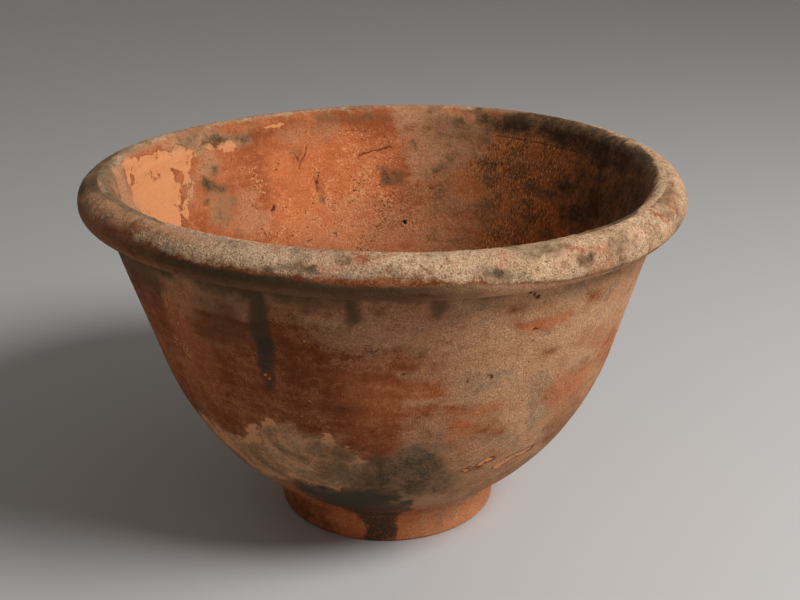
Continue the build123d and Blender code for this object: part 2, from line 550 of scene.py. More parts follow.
class Skin:
    """A piece's surface while its coats are painted on."""

    def __init__(self, piece):
        self.piece = piece
        self.places = vectors_of(piece.data.vertices, "co")
        self.facings = vectors_of(piece.data.vertex_normals, "vector")
        self.pixels = photo_pixels(self.places)
        self.wander = wandering(self.places)
        to_camera = np.array(CAMERA_PLACE) - self.places
        to_camera /= np.linalg.norm(to_camera, axis=1)[:, None]
        self.in_view = smooth(np.sum(self.facings * to_camera, axis=1), *EDGE_ON)
        on_floor = (self.facings[:, 2] > FLAT_FLOOR) & (self.places[:, 2] < RIM_HEIGHT / 2)
        self.hollow_side = on_floor | (np.sum(self.facings[:, :2] * self.places[:, :2], axis=1) < 0)
        self.coats = {coat: np.zeros(len(self.places)) for coat in COATS}
        self.crack_offset = np.full(len(self.places), CRACK_REACH)
        profile_places = np.stack((np.linalg.norm(self.places[:, :2], axis=1), self.places[:, 2]), axis=1)
        seam_distance = np.min([np.linalg.norm(profile_places - seam, axis=1) for seam in SEAMS], axis=0)
        self.free = smooth(seam_distance, 0.6 * SEAM_REACH, SEAM_REACH)
        bpy.context.view_layer.update()

    def hit(self, start, direction):
        found, place, facing, _ = self.piece.ray_cast(start, direction)
        return (np.array(place), np.array(facing)) if found else None

    def seen(self, pixel):
        """Where the camera sees the piece at a pixel of the photograph."""
        return self.hit(CAMERA_PLACE, pixel_direction(pixel))

    def outside(self, bearing, height):
        """The outside of the piece at a bearing in degrees and a height in millimetres."""
        outward = Vector((math.cos(math.radians(bearing)), math.sin(math.radians(bearing)), 0.0))
        return self.hit(outward * 2 * RIM_RADIUS + Vector((0, 0, height * MM)), -outward)

    def lay(self, coat, values):
        """Lay a coat over what is there, or take it off where the values are negative."""
        laid = np.maximum(self.coats[coat], values)
        self.coats[coat] = np.where(values < 0, np.maximum(self.coats[coat] + values, 0.0), laid)

    def patch(self, coat, strength, softness, outline, inside=False):
        """Fill an outline in the photograph, with a ragged edge that fades over the softness in pixels."""
        raggedness = WANDER_LEAST + min(softness, WANDER_PIXELS)
        depth = depth_in_outline(self.pixels + self.wander[:, :2] * raggedness, outline)
        right_side = self.hollow_side if inside else ~self.hollow_side
        self.lay(coat, strength * smooth(depth, -softness, softness) * self.in_view * right_side)

    def stroke(self, coat, strength, width, hits):
        """Brush along the hits on the surface, as wide in millimetres each side of the path."""
        hits = [hit for hit in hits if hit]
        if not hits:
            return
        reach = np.full(len(self.places), np.inf)
        places = self.places + self.wander * STROKE_WANDER * width * MM
        for (start, start_facing), (end, end_facing) in zip(hits, hits[1:] or hits):
            same_side = self.facings @ (start_facing + end_facing) > 0.5
            distance = distance_to_run(places, start, end)
            reach = np.where(same_side, np.minimum(reach, distance), reach)
        self.lay(coat, strength * smooth(-reach, -width * MM, -STROKE_CORE * width * MM))

    def crack(self, strength, hits):
        """Draw a hairline along the hits: near it every point keeps how far to its left or right it lies."""
        hits = [hit for hit in hits if hit]
        last = len(hits) - 2
        for number, ((start, facing), (end, _)) in enumerate(zip(hits, hits[1:])):
            run = end - start
            along = (self.places - start) @ run / (run @ run)
            beside = (along > 0) | (number > 0)
            beside &= (along < 1) | (number < last)
            gap = self.places - start - np.clip(along, 0.0, 1.0)[:, None] * run
            distance = np.linalg.norm(gap, axis=1)
            side = np.sign(gap @ np.cross(facing, run))
            nearer = beside & (distance < np.abs(self.crack_offset)) & (self.facings @ facing > 0.25)
            self.crack_offset = np.where(nearer, side * distance, self.crack_offset)
            self.lay("crack", strength * smooth(-distance, -CRACK_REACH, -0.6 * CRACK_REACH) * nearer)

    def keep(self):
        """Write the coats to the mesh, where the trees and materials read them."""
        levels = {**self.coats, "crack_offset": self.crack_offset / MM, "free": self.free}
        for name, values in levels.items():
            attribute = self.piece.data.attributes.new(name, "FLOAT", "POINT")
            attribute.data.foreach_set("value", values)


# Relief of the weathered surface
WEATHERING = {
    "Flake depth": 0.3 * MM,
    "Crust height": 0.35 * MM,
    "Grit height": 0.12 * MM,
    "Scar depth": 0.9 * MM,
}
SMOOTH_FOOT = (0.3 * MM, 2.5 * MM)      # heights between which relief sets in
SHARP_EDGE = math.radians(65)           # edges that turn more than this are shaded sharp


def flake_mask(sheet, place, bare):
    """Where the slip has flaked off: ragged patches with crisp edges."""
    grain = sheet.noise(place, 150.0, detail=6.0, roughness=0.72)
    return sheet.step(sheet.add(bare, sheet.times(grain, sheet.span(bare, 0.0, 0.2, 0.0, 0.9))), 0.46, 0.54)


def crust_mask(sheet, place, crust):
    """Where a grainy crust clings."""
    grain = sheet.noise(place, 170.0, detail=5.0, roughness=0.68)
    return sheet.step(sheet.add(crust, sheet.times(grain, 0.8)), 0.25, 0.75)


def weathered_skin_tree():
    """Sinks the flakes and scars and raises the crust and grit, but keeps the seams between pieces shut."""
    sheet, inputs = modifier_tree("weathered skin", WEATHERING)

    def painted(name):
        return sheet.out("GeometryNodeInputNamedAttribute", {"Name": name})
    place = sheet.out("GeometryNodeInputPosition")
    lumps = sheet.add(sheet.noise(place, 330.0), 0.5)
    grit = sheet.noise(place, 520.0, detail=2.0)
    relief = sheet.add(
        sheet.times(flake_mask(sheet, place, painted("bare")), inputs["Flake depth"], -1.0),
        sheet.times(crust_mask(sheet, place, painted("crust")), lumps, inputs["Crust height"]),
        sheet.times(grit, inputs["Grit height"]),
        sheet.times(painted("scar"), inputs["Scar depth"], -1.0),
    )
    height = sheet.node("ShaderNodeSeparateXYZ", {0: place}).outputs["Z"]
    above_foot = sheet.step(height, *SMOOTH_FOOT)
    normal = sheet.out("GeometryNodeInputNormal")
    offset = sheet.lengthened(normal, sheet.times(relief, above_foot, painted("free")))
    skin = sheet.out("GeometryNodeSetPosition", {"Geometry": inputs["Geometry"], "Offset": offset})
    return finish_tree(sheet, skin, inputs["Material"])


def weather(piece, material):
    apply_tree(piece, WEATHERED_SKIN, {**WEATHERING, "Material": material})
    piece.data.set_sharp_from_angle(angle=SHARP_EDGE)


# Colours, in linear values
SLIP_DULL = (0.165, 0.040, 0.0115, 1.0)
SLIP_BRIGHT = (0.69, 0.20, 0.067, 1.0)
SLIP_FLECK = (0.78, 0.38, 0.17, 1.0)
BARE_CLAY = (0.82, 0.35, 0.15, 1.0)
BARE_CLAY_DEEP = (0.70, 0.27, 0.105, 1.0)
FILM_TAN = (0.72, 0.405, 0.225, 1.0)
FILM_BROWN = (0.45, 0.225, 0.108, 1.0)
FILM_GREY = (0.34, 0.22, 0.125, 1.0)
BROWN_WASH = (0.40, 0.152, 0.044, 1.0)
BROWN_DARK = (0.070, 0.030, 0.011, 1.0)
CRUST_CREAM = (0.66, 0.44, 0.27, 1.0)
CRUST_BUFF = (0.40, 0.232, 0.118, 1.0)
CRUST_PINK = (0.50, 0.24, 0.140, 1.0)
CRUST_GREY = (0.23, 0.175, 0.112, 1.0)
CRUST_SPECK = (0.16, 0.092, 0.046, 1.0)
# The olive colour below is dirt and also painted shade under the rim; the two brown to black colours after it
# are dirt and also painted shade inside at the right and under the rim at the right
OLIVE_VEIL_AND_SHADE = (0.058, 0.041, 0.020, 1.0)
BROWN_GRIME_AND_SHADE = (0.14, 0.086, 0.042, 1.0)
DARK_GRIME_AND_SHADE = (0.026, 0.019, 0.011, 1.0)
SOOT = (0.041, 0.036, 0.025, 1.0)
SCAR_DARK = (0.070, 0.028, 0.012, 1.0)

# Noises and shine of the clay
NOISE_SHIFT = (0.31, 0.17, 0.05)            # keeps specks and fibres apart from the other noises
FIBRE_STRETCH = (1350.0, 1350.0, 480.0)     # upright streaks
WIPED_STRETCH = (30.0, 30.0, 240.0)         # level streaks
CLEAN_ROUGHNESS = 0.66
DUSTY_ROUGHNESS = 0.94
SPECULAR_LEVEL = 0.1


class AgedClay(NodeSheet):
    """The node tree of a clay surface, with its painted coats and the noises that break them up."""

    def __init__(self, tree):
        super().__init__(tree)
        self.place = self.node("ShaderNodeTexCoord").outputs["Object"]
        self.coat = {name: self.painted(name) for name in COATS}
        elsewhere = self.vector("ADD", self.place, NOISE_SHIFT)
        fibres = self.vector("MULTIPLY", elsewhere, FIBRE_STRETCH)
        wipes = self.vector("MULTIPLY", self.place, WIPED_STRETCH)
        self.noises = {
            "broad": self.noise(self.place, 26.0),
            "middle": self.noise(self.place, 95.0, detail=4.0),
            "fine": self.noise(self.place, 300.0, detail=7.0, roughness=0.74),
            "grain": self.noise(self.place, 1500.0, detail=3.0, roughness=0.6),
            "speck": self.noise(elsewhere, 820.0, detail=3.0, roughness=0.65),
            "fibre": self.noise(fibres, 1.0, detail=2.0, roughness=0.6),
            "wiped": self.noise(wipes, 1.0, detail=5.0, roughness=0.62),
        }

    def painted(self, name):
        return self.node("ShaderNodeAttribute", attribute_name=name).outputs["Fac"]

    def blotch(self, **weights):
        """A sum of the shared noises, each by its weight."""
        return self.add(*(self.times(self.noises[name], weight) for name, weight in weights.items()))

    def blots(self, low, high, **weights):
        """A mask that goes from 0 to 1 as a sum of the shared noises rises from low to high."""
        return self.step(self.blotch(**weights), low, high)

    def stain(self, name, **weights):
        """A painted coat broken up by noise, and nothing where it isn't painted."""
        coat = self.coat[name]
        return self.add(coat, self.times(self.blotch(**weights), self.span(coat, 0.0, 0.3)))

    def cover(self, colour, tone, mask, strength):
        """Lay a tone over a colour where the mask is, at most as strong as given."""
        return self.mix(self.times(mask, strength), colour, tone)

    def slip(self, bright):
        """Slip from dull red to bright orange, rubbed through in small flecks."""
        patchy = self.blotch(broad=0.2, middle=0.16, fine=0.2, grain=0.12, wiped=0.12)
        share = self.span(self.add(self.coat["bright"], bright, patchy), 0.0, 1.0)
        slip = self.mix(share, SLIP_DULL, SLIP_BRIGHT)
        flecks = self.add(self.blotch(middle=0.5, speck=1.1, grain=0.3), self.times(self.coat["fleck"], 0.38))
        return self.cover(slip, SLIP_FLECK, self.step(flecks, 0.52, 0.66), 0.72)

    def brown_wash(self, colour):
        """A brown wash, streaked light and dark from speck to speck."""
        share = self.step(self.stain("brown", middle=0.4, fine=0.4), 0.1, 0.8)
        pale = self.blots(0.2, 0.4, middle=0.3, fibre=-1.1, speck=0.5)
        cloud = self.blots(-0.15, 0.5, broad=0.6, middle=0.9, fine=0.6)
        dark = self.blots(0.04, 0.2, middle=0.5, fine=0.5, fibre=1.2, speck=0.4, grain=0.3)
        wash = self.cover(BROWN_WASH, SLIP_FLECK, pale, 0.65)
        wash = self.cover(wash, BROWN_DARK, cloud, 0.62)
        wash = self.cover(wash, BROWN_DARK, dark, 0.8)
        return self.mix(share, colour, wash)

    def soil_film(self, colour, film):
        """A thin film of soil, wiped thinner in places."""
        uneven = self.blotch(broad=0.16, middle=0.2, fine=0.45, grain=0.25, wiped=0.4)
        self.filmed = self.span(self.add(self.coat["film"], film, uneven), 0.0, 1.0)
        tone = self.mix(self.blots(-0.35, 0.45, middle=0.7, fine=0.5, wiped=0.4), FILM_TAN, FILM_BROWN)
        self.soil = self.cover(tone, FILM_GREY, self.blots(0.0, 0.35, broad=0.8, middle=-0.6, fine=0.3), 0.7)
        return self.cover(colour, self.soil, self.filmed, 0.92)

    def flaked_clay(self, colour):
        """Bare clay where the slip has flaked off, under what soil lies there."""
        self.flaked = flake_mask(self, self.place, self.coat["bare"])
        bare = self.mix(self.blots(-0.3, 0.5, middle=0.4, fine=0.5, grain=0.5), BARE_CLAY, BARE_CLAY_DEEP)
        bare = self.cover(bare, self.soil, self.coat["film"], 0.85)
        return self.mix(self.flaked, colour, bare)

    def crust_grains(self, colour):
        """A crust of cream, buff, pink and grey grains."""
        self.crusted = crust_mask(self, self.place, self.coat["crust"])
        speckle = self.times(self.blotch(speck=0.2, grain=1.3), self.blots(-0.5, 0.5, middle=1.0, fine=0.5))
        pale = self.times(self.coat["pale"], 0.35)
        cream = self.add(self.blotch(middle=0.6, fine=0.9, wiped=0.35), speckle, pale)
        tone = self.mix(self.step(cream, -0.65, 0.35), CRUST_BUFF, CRUST_CREAM)
        tone = self.cover(tone, CRUST_PINK, self.blots(0.05, 0.4, broad=0.8, middle=0.7, fine=0.5), 0.75)
        tone = self.cover(tone, CRUST_GREY, self.blots(0.15, 0.35, broad=0.5, middle=-1.0, fine=0.7), 0.5)
        specks = self.blots(0.3, 0.45, middle=-0.5, speck=-0.9, grain=-0.5)
        tone = self.cover(tone, CRUST_SPECK, specks, 0.6)
        return self.cover(colour, tone, self.crusted, 0.92)

    def stains(self, colour):
        """Thin even olive dirt, brown to black dirt, and soot; the olive and the brown to black tones also
        paint shade under the rim and inside at the right.
        """
        veil_and_shade = self.stain("veil_and_shade", middle=0.15, fine=0.25, grain=0.25)
        colour = self.cover(colour, OLIVE_VEIL_AND_SHADE, self.step(veil_and_shade, 0.0, 1.0), 0.94)
        grime_and_shade = self.stain("grime_and_shade", middle=0.5, fine=0.8, speck=0.3, grain=0.5)
        tone = self.mix(self.step(grime_and_shade, 0.6, 1.15), BROWN_GRIME_AND_SHADE, DARK_GRIME_AND_SHADE)
        colour = self.cover(colour, tone, self.step(grime_and_shade, 0.1, 0.85), 0.92)
        soot = self.stain("soot", middle=0.4, fine=0.5, speck=0.25, grain=1.0)
        return self.cover(colour, SOOT, self.step(soot, 0.08, 0.82), 0.92)

    def pits(self, colour):
        """Small pits left by grit, the painted chips and hairline cracks."""
        loose = self.times(self.add(self.coat["brown"], self.coat["fleck"]), 0.2)
        grit = self.add(self.blotch(middle=0.5, speck=-0.9, grain=-0.35), loose)
        holes = self.times(self.step(grit, 0.54, 0.64), 0.75)
        scars = self.step(self.stain("scar", fine=0.6), 0.35, 0.7)
        beside_crack = self.math("ABSOLUTE", self.painted("crack_offset"))
        wavering = self.add(beside_crack, self.blotch(fine=0.6, speck=0.8))
        hairline = self.times(self.step(wavering, 0.42, 0.12), self.coat["crack"])
        self.sunk = self.math("MAXIMUM", holes, self.math("MAXIMUM", scars, hairline))
        return self.cover(colour, SCAR_DARK, self.sunk, 0.88)

    def mottle(self, colour):
        """Light and dark from grain to grain, more so in soil."""
        self.dusty = self.math("MAXIMUM", self.crusted, self.filmed)
        in_soil = self.times(self.dusty, self.blotch(fine=0.15, speck=0.12, grain=0.52))
        level = self.add(1.0, self.blotch(middle=0.1, fine=0.2, speck=0.1, grain=0.26), in_soil)
        return self.mix(1.0, colour, self.ordered("ShaderNodeCombineColor", level, level, level), "MULTIPLY")

    def relief(self):
        """Height of the fine relief, in millimetres."""
        return self.add(
            self.times(self.flaked, -0.25),
            self.times(self.crusted, self.blotch(middle=0.2, fine=0.2, grain=0.14)),
            self.blotch(fine=0.2, grain=0.14, wiped=0.1),
            self.times(self.sunk, -0.45),
        )


def clay_material(name, bright, film):
    """Aged clay under slip, with how bright and how filmed it is before any painted coat."""
    material = bpy.data.materials.new(name)
    material.use_nodes = True
    clay = AgedClay(material.node_tree)
    colour = clay.slip(bright)
    colour = clay.brown_wash(colour)
    colour = clay.soil_film(colour, film)
    for layer in (clay.flaked_clay, clay.crust_grains, clay.stains, clay.pits, clay.mottle):
        colour = layer(colour)
    bump = clay.out("ShaderNodeBump", {"Height": clay.relief(), "Distance": MM, "Strength": 1.0})
    shader = material.node_tree.nodes["Principled BSDF"]
    clay.feed(shader.inputs["Base Color"], colour)
    clay.feed(shader.inputs["Roughness"], clay.span(clay.dusty, 0.0, 1.0, CLEAN_ROUGHNESS, DUSTY_ROUGHNESS))
    clay.feed(shader.inputs["Normal"], bump)
    shader.inputs["Specular IOR Level"].default_value = SPECULAR_LEVEL
    return material


# Outlines and paths that more than one mark has, in the photograph's pixels
RIGHT_LIP = (
    (640, 146), (652, 160), (656, 176), (652, 192), (640, 210), (622, 228), (660, 236), (700, 196),
    (684, 160), (656, 140),
)
RED_STREAK = (
    (514, 318), (528, 323), (545, 322), (560, 316), (572, 311), (571, 317), (556, 325), (540, 332),
    (520, 330),
)
ORANGE_EDGE = ((590, 340), (612, 322), (612, 352), (594, 370))
ORANGE_LOW_RIGHT = ((535, 386), (556, 370), (585, 362), (580, 396), (556, 406), (540, 402))
ORANGE_BAND = ((362, 370), (395, 370), (434, 386), (432, 405), (366, 404))
ORANGE_LOW_MIDDLE = ((450, 412), (518, 410), (520, 432), (454, 440))
LARGE_ABRASION = ((497, 466), (513, 456), (529, 449))
SMALL_ABRASION = ((478, 466), (486, 460), (492, 459))
DRIP_CHIP = ((266, 376), (269, 379))
LOW_CHIP = ((464, 470), (466, 471))
CRUST_LOW_LEFT = (
    (166, 248), (185, 251), (205, 256), (235, 262), (264, 267), (262, 273), (232, 270), (200, 265),
    (180, 260), (166, 254),
)

# Marks inside the bowl, outlined in the photograph's pixels: coat, strength, softness in pixels, outline
INSIDE_PATCHES = {
    "orange_middle": ("bright", 0.85, 28, (
        (255, 136), (320, 130), (404, 130), (410, 178), (360, 252), (262, 236))),
    "flecks_middle": ("fleck", 0.9, 22, (
        (300, 170), (335, 135), (404, 130), (420, 200), (420, 250), (280, 245), (252, 225), (256, 195))),
    "flecks_left": ("fleck", 0.8, 8, (
        (238, 150), (264, 146), (268, 186), (300, 190), (300, 215), (252, 215), (248, 186))),
    "orange_wiped_clean": ("film", -0.1, 28, (
        (255, 130), (320, 122), (404, 122), (410, 178), (360, 252), (262, 236))),
    "red_left": ("bright", 0.47, 14, ((200, 140), (285, 128), (285, 152), (262, 236), (190, 222))),
    "brown_right": ("brown", 0.95, 30, (
        (470, 160), (500, 130), (600, 130), (680, 170), (680, 230), (600, 270), (470, 270))),
    "brown_middle": ("brown", 0.5, 24, (
        (405, 165), (450, 150), (500, 140), (500, 270), (400, 270), (405, 210))),
    "brown_low_middle": ("brown", 0.3, 26, ((325, 215), (400, 190), (420, 260), (300, 260))),
    "orange_deep_left": ("bright", -0.14, 9, ((254, 128), (296, 123), (292, 152), (262, 156))),
    "large_flake": ("bare", 0.78, 6, (
        (122, 172), (126, 158), (138, 150), (168, 145), (186, 146), (194, 156), (196, 172), (190, 182),
        (182, 186), (178, 200), (184, 236), (150, 228), (134, 210), (126, 190))),
    "flake_fringe": ("bare", 0.48, 6, (
        (180, 150), (198, 154), (204, 176), (198, 192), (190, 232), (176, 222), (178, 190))),
    "flake_tongue": ("bare", 0.66, 5, ((214, 137), (227, 135), (238, 142), (234, 149), (214, 152))),
    "flake_chips": ("bare", 0.55, 5, ((194, 147), (214, 141), (216, 154), (198, 153))),
    "flake_chip_high": ("bare", 0.7, 3, ((208, 131), (220, 131), (216, 137), (209, 136))),
    "flake_streak": ("bare", 0.8, 2, ((262, 126), (274, 123), (288, 122), (286, 126), (268, 128))),
    "brown_on_flake": ("bare", -0.9, 3, ((175, 168), (182, 170), (183, 182), (177, 182))),
    "brown_on_flake_left": ("bare", -0.9, 2, ((131, 174), (134, 176), (135, 187), (132, 186))),
    "tan_over_flake": ("film", 0.65, 4, (
        (118, 162), (138, 144), (172, 136), (198, 131), (200, 138), (172, 141), (142, 146), (126, 156))),
    "tan_beside_flake": ("film", 0.75, 4, (
        (108, 180), (120, 162), (124, 176), (134, 200), (150, 216), (136, 218), (116, 200))),
    "olive_under_rim": ("film", 0.9, 8, (
        (168, 138), (215, 130), (250, 126), (254, 140), (236, 141), (212, 142), (203, 160), (192, 152),
        (172, 147))),
    "veil_under_rim_left": ("veil_and_shade", 0.3, 7, (
        (176, 134), (215, 128), (258, 123), (256, 136), (214, 142), (180, 145))),
    "olive_by_flake": ("grime_and_shade", 0.35, 7, ((170, 137), (196, 133), (198, 150), (176, 149))),
    "dark_under_rim": ("grime_and_shade", 0.7, 6, (
        (200, 138), (216, 134), (236, 129), (256, 127), (252, 139), (238, 142), (230, 134), (216, 150),
        (202, 148))),
    "grey_streak": ("film", 0.6, 7, ((202, 152), (215, 152), (219, 178), (204, 180))),
    "grey_beside_flake": ("film", 0.55, 8, ((181, 176), (199, 180), (198, 206), (183, 208))),
    "grey_tongue": ("film", 0.5, 8, ((214, 192), (234, 190), (238, 212), (232, 234), (214, 226))),
    "grime_on_tongue": ("grime_and_shade", 0.4, 6, ((216, 196), (234, 192), (238, 214), (230, 228), (218, 222))),
    "grey_veil": ("film", 0.5, 12, (
        (238, 184), (252, 184), (256, 200), (275, 218), (262, 240), (241, 230))),
    "dark_stain_left": ("grime_and_shade", 0.75, 6, ((201, 186), (214, 181), (230, 184), (226, 195), (206, 197))),
    "dark_stain_high": ("grime_and_shade", 0.65, 4, ((211, 164), (219, 166), (219, 177), (212, 175))),
    "dark_stain_right": ("grime_and_shade", 0.55, 6, ((224, 188), (234, 190), (238, 212), (229, 210))),
    "dark_stain_low": ("grime_and_shade", 0.55, 4, ((204, 199), (212, 200), (211, 209), (205, 207))),
    "pale_by_crack": ("film", 0.34, 10, ((284, 134), (306, 130), (304, 154), (290, 154))),
    "pale_right_of_crack": ("film", 0.36, 10, ((311, 120), (340, 116), (340, 140), (316, 148))),
    "smear_at_crack": ("grime_and_shade", 0.35, 6, ((291, 148), (306, 146), (306, 166), (296, 166))),
    "lilac_under_rim": ("grime_and_shade", 0.42, 6, (
        (312, 115), (345, 111), (395, 111), (392, 122), (350, 123), (316, 127))),
    "grey_round_stain": ("grime_and_shade", 0.72, 7, ((376, 164), (392, 157), (406, 164), (404, 180), (384, 183))),
    "soil_low_middle": ("film", 0.28, 24, ((310, 205), (420, 180), (470, 180), (470, 270), (300, 270))),
    "olive_grime": ("grime_and_shade", 0.3, 14, ((412, 112), (500, 114), (490, 160), (440, 170), (420, 150))),
    "film_under_rim": ("film", 0.85, 10, (
        (392, 110), (460, 110), (500, 116), (490, 134), (452, 138), (410, 132))),
    "olive_stain": ("film", 0.78, 14, (
        (404, 130), (456, 126), (490, 132), (480, 160), (440, 172), (424, 172), (414, 148))),
    "olive_veil": ("veil_and_shade", 0.4, 10, ((425, 116), (470, 114), (500, 122), (480, 146), (440, 144))),
    "green_stain": ("grime_and_shade", 0.5, 7, ((421, 158), (446, 156), (447, 172), (424, 174))),
    # Painted shade over some dark dirt: the band below the rim at the right, where the rim's shadow falls
    # inside
    "shade_and_dirt_band_right": ("grime_and_shade", 0.95, 9, (
        (470, 108), (520, 107), (560, 114), (620, 134), (655, 156), (668, 180), (655, 192), (600, 166),
        (545, 142), (500, 132))),
    # Painted shade over some dark dirt at the right end inside
    "shade_and_dirt_right_end": ("grime_and_shade", 0.95, 26, (
        (575, 160), (660, 172), (662, 215), (612, 244), (578, 236), (572, 195))),
    "black_blot_left": ("grime_and_shade", 0.8, 7, ((530, 188), (560, 182), (564, 198), (540, 203))),
    "black_blot_high": ("grime_and_shade", 0.85, 6, ((556, 178), (578, 178), (580, 192), (560, 192))),
    "black_blot_right": ("grime_and_shade", 0.85, 7, ((560, 200), (584, 200), (584, 218), (564, 218))),
    "black_blot_low": ("grime_and_shade", 0.7, 6, ((532, 225), (554, 225), (554, 241), (536, 241))),
    "dark_mottle": ("grime_and_shade", 0.35, 12, ((505, 206), (534, 204), (538, 238), (510, 238))),
    "red_glow_right": ("brown", -0.25, 12, ((536, 205), (562, 204), (570, 240), (540, 242))),
    "orange_glow_high": ("brown", -0.12, 12, ((515, 152), (562, 154), (560, 178), (520, 178))),
    "grime_off_right_lip": ("grime_and_shade", -1.0, 3, RIGHT_LIP),
    "tan_right_lip": ("film", 0.95, 3, RIGHT_LIP),
}

# Marks on the outside of the wall
OUTSIDE_PATCHES = {
    "tan_right": ("film", 0.88, 65, (
        (440, 270), (760, 220), (720, 360), (640, 480), (530, 510), (455, 500), (430, 400))),
    "tan_middle": ("film", 0.62, 38, ((285, 296), (450, 290), (450, 362), (385, 366), (310, 345))),
    "olive_left_high": ("film", 0.6, 14, (
        (136, 258), (200, 276), (290, 288), (290, 306), (200, 304), (150, 292))),
    "orange_left": ("bright", 0.34, 18, ((146, 290), (192, 296), (208, 340), (212, 385), (176, 372))),
    "dark_left_middle": ("veil_and_shade", 0.5, 18, ((196, 284), (252, 288), (256, 345), (212, 348))),
    "red_low_middle": ("bright", 0.32, 34, ((345, 372), (440, 372), (455, 402), (400, 428), (345, 432))),
    "red_wall_clean": ("film", -0.22, 20, (
        (165, 325), (240, 316), (330, 362), (440, 384), (420, 430), (330, 425), (250, 415), (200, 400))),
    "red_streak_high": ("film", -0.95, 6, RED_STREAK),
    "red_streak_high_bright": ("bright", 0.6, 5, RED_STREAK),
    "red_spot_high": ("film", -0.85, 6, ((508, 306), (526, 303), (525, 309), (510, 312))),
    "red_spot_low": ("film", -0.85, 5, ((542, 351), (554, 347), (555, 353), (544, 356))),
    "red_spot_far": ("film", -0.75, 6, ((588, 288), (606, 286), (604, 297), (590, 298))),
    "orange_edge": ("film", -0.65, 9, ORANGE_EDGE),
    "orange_edge_bright": ("bright", 0.4, 9, ORANGE_EDGE),
    "orange_low_right": ("film", -0.6, 12, ORANGE_LOW_RIGHT),
    "orange_low_right_bright": ("bright", 0.35, 12, ORANGE_LOW_RIGHT),
    "orange_lower_edge": ("film", -0.6, 9, ((556, 412), (584, 402), (566, 432), (540, 446))),
    "orange_band": ("film", -0.4, 24, ORANGE_BAND),
    "orange_band_bright": ("bright", 0.3, 24, ORANGE_BAND),
    "deep_red": ("film", -0.3, 12, ((290, 390), (342, 392), (352, 418), (298, 418))),
    "orange_low_middle": ("film", -0.45, 16, ORANGE_LOW_MIDDLE),
    "orange_low_middle_bright": ("bright", 0.35, 16, ORANGE_LOW_MIDDLE),
    "worn_low_left": ("bare", 0.62, 7, (
        (190, 410), (222, 427), (240, 431), (252, 423), (268, 420), (290, 421), (298, 430), (303, 437),
        (318, 439), (326, 429), (338, 441), (352, 450), (366, 454), (384, 464), (382, 484), (340, 490),
        (300, 486), (260, 480), (215, 447))),
    "soil_on_worn": ("film", 0.68, 7, (
        (190, 413), (222, 430), (240, 434), (256, 427), (290, 426), (300, 438), (318, 442), (326, 434),
        (338, 446), (364, 459), (388, 468), (386, 486), (340, 490), (300, 486), (260, 480), (215, 450))),
    "veil_on_worn": ("veil_and_shade", 0.5, 18, (
        (310, 446), (340, 448), (366, 458), (392, 468), (392, 492), (340, 496), (300, 488))),
    "crumbs_on_worn": ("crust", 0.36, 10, (
        (236, 436), (300, 440), (340, 450), (372, 464), (376, 482), (340, 486), (290, 482), (250, 462))),
    "grime_on_worn": ("grime_and_shade", 0.39, 14, (
        (222, 432), (292, 434), (330, 444), (364, 460), (388, 470), (386, 488), (340, 492), (300, 488),
        (260, 480))),
    "tan_low_middle": ("film", 0.62, 10, ((392, 420), (448, 412), (448, 448), (404, 454))),
    "tan_low_right": ("film", 0.95, 14, ((500, 396), (540, 392), (560, 425), (520, 450), (488, 446))),
    "soil_under_soot": ("film", 0.8, 14, (
        (380, 470), (398, 446), (440, 440), (470, 452), (480, 480), (470, 505), (430, 510), (390, 510))),
    "veil_by_soot": ("veil_and_shade", 0.72, 8, ((354, 462), (368, 454), (390, 462), (388, 488), (352, 488))),
    "veil_low": ("veil_and_shade", 0.5, 18, (
        (362, 482), (384, 458), (400, 446), (430, 446), (456, 458), (466, 478), (450, 494), (420, 502),
        (378, 506))),
    "soot_low": ("soot", 0.42, 16, (
        (364, 484), (382, 464), (398, 450), (424, 450), (444, 462), (450, 476), (440, 486), (412, 492),
        (380, 500))),
    "veil_along_base": ("veil_and_shade", 1.1, 8, (
        (292, 483), (330, 488), (372, 486), (400, 487), (404, 498), (384, 510), (340, 508), (310, 498))),
    "soot_along_base": ("soot", 0.45, 7, (
        (300, 484), (372, 488), (398, 488), (400, 498), (384, 510), (340, 508), (310, 498))),
    "soot_on_bead": ("soot", 0.7, 5, (
        (335, 498), (380, 504), (412, 500), (412, 510), (400, 515), (345, 515))),
    "green_left_edge": ("veil_and_shade", 0.6, 6, ((126, 249), (141, 252), (160, 292), (152, 303), (132, 275))),
    # Painted shade with some olive dirt in the dark band under the rim at the left
    "shade_and_dirt_under_rim_left": ("veil_and_shade", 0.85, 9, (
        (116, 240), (150, 256), (200, 270), (250, 280), (300, 286), (360, 290), (440, 292), (440, 297),
        (360, 302), (300, 302), (250, 296), (200, 285), (150, 274), (122, 256))),
    "shade_under_rim": ("veil_and_shade", 0.66, 9, (
        (120, 246), (150, 262), (200, 276), (280, 288), (440, 292), (500, 288), (500, 294), (440, 304),
        (360, 306), (280, 304), (200, 291), (150, 276))),
    "long_drip_top": ("veil_and_shade", 0.85, 5, (
        (250, 284), (266, 284), (269, 320), (272, 352), (258, 352), (248, 322))),
    "long_drip_end": ("soot", 0.66, 4, (
        (256, 338), (270, 338), (274, 364), (274, 384), (268, 390), (262, 384), (259, 362))),
    "drip_middle": ("veil_and_shade", 0.72, 6, ((341, 291), (360, 291), (360, 318), (352, 332), (343, 320))),
    "drip_small": ("veil_and_shade", 0.6, 5, ((301, 294), (314, 294), (312, 313), (304, 313))),
    "drip_right": ("veil_and_shade", 0.66, 7, ((426, 290), (450, 290), (449, 312), (440, 326), (430, 318))),
    # Painted shade with grey dirt where the roll meets the wall at the right
    "shade_and_dirt_under_rim_right": ("grime_and_shade", 0.35, 6, (
        (440, 292), (520, 287), (600, 272), (640, 262), (640, 268), (600, 280), (520, 295), (440, 300))),
}

